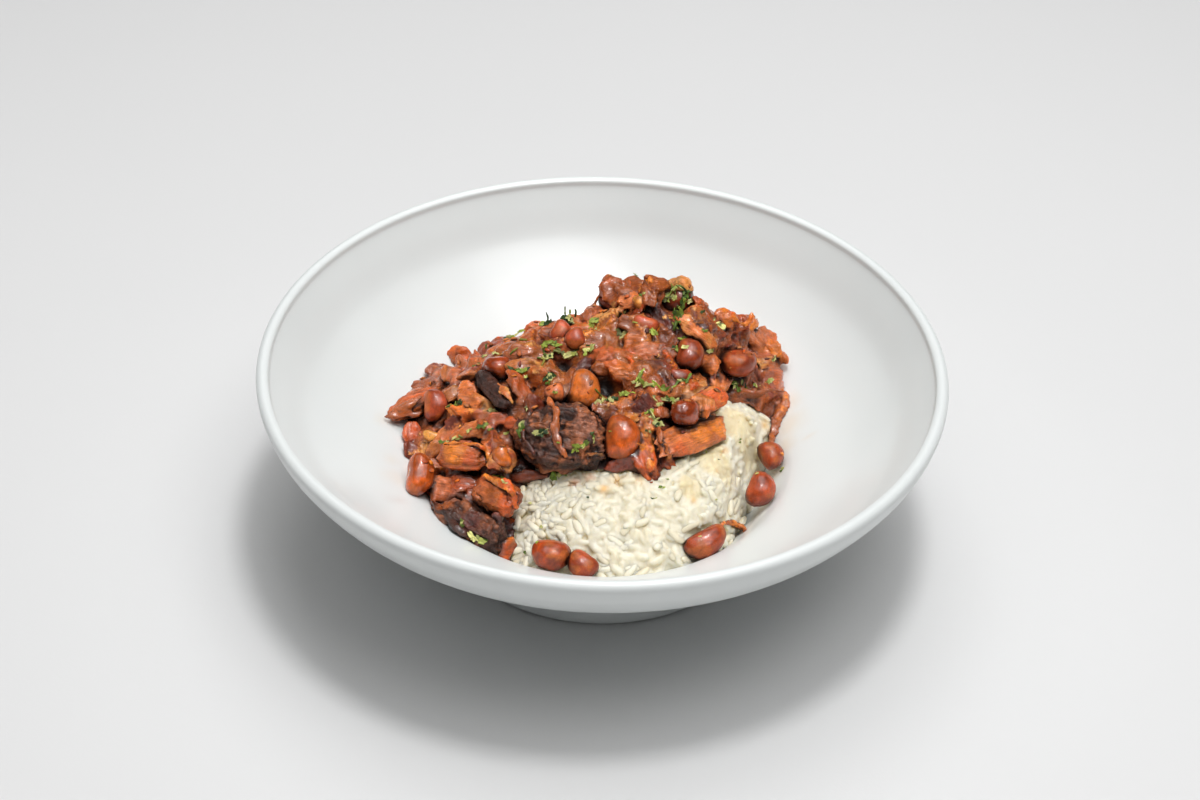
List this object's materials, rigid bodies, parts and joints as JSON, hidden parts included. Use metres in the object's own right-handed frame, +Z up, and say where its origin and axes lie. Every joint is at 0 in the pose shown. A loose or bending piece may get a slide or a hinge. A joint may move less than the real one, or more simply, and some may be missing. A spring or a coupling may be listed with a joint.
{
  "type": "bowl of red beans and rice",
  "caption": "Wide white footed bowl with a steep inner well, holding a mound of white rice under a chunky stew of red beans and shredded meat with chopped herbs.",
  "frame": {"origin": "middle of the bowl's foot ring, on the table", "axes": "+Z up, -Y towards the diner and the side where the rice shows, +X to the diner's right"},
  "size_m": [0.2294, 0.2298, 0.071],
  "materials": {
    "white_glaze": "smooth glossy white glaze",
    "cooked_rice": "moist, slightly translucent cooked rice",
    "stew": "glossy red-brown sauce over beans and shreds of meat",
    "bean_skin": "shiny cooked bean skin, orange-brown to dark red",
    "stewed_meat": "fibrous orange-brown stewed meat with a wet film",
    "charred_meat": "rough, dark charred meat with a wet film"
  },
  "bodies": {
    "root": {"bowl": "white_glaze", "rice": "cooked_rice", "bean_stew": "stew", "bean_front": "bean_skin", "bean_middle": "bean_skin", "bean_glossy": "bean_skin", "bean_right": "bean_skin", "bean_dark": "bean_skin", "bean_peak": "bean_skin", "bean_crest": "bean_skin", "bean_shiny": "bean_skin", "bean_left": "bean_skin", "bean_far_left": "bean_skin", "bean_right_upper": "bean_skin", "bean_right_lower": "bean_skin", "bean_front_right": "bean_skin", "bean_front_left": "bean_skin", "bean_front_left_inner": "bean_skin", "meat_charred": "charred_meat", "meat_front_left": "charred_meat", "meat_slab": "stewed_meat", "meat_curl": "stewed_meat", "meat_flap": "stewed_meat", "meat_bark": "charred_meat", "meat_wedge": "stewed_meat", "meat_crumb": "stewed_meat"}
  },
  "joints": []
}
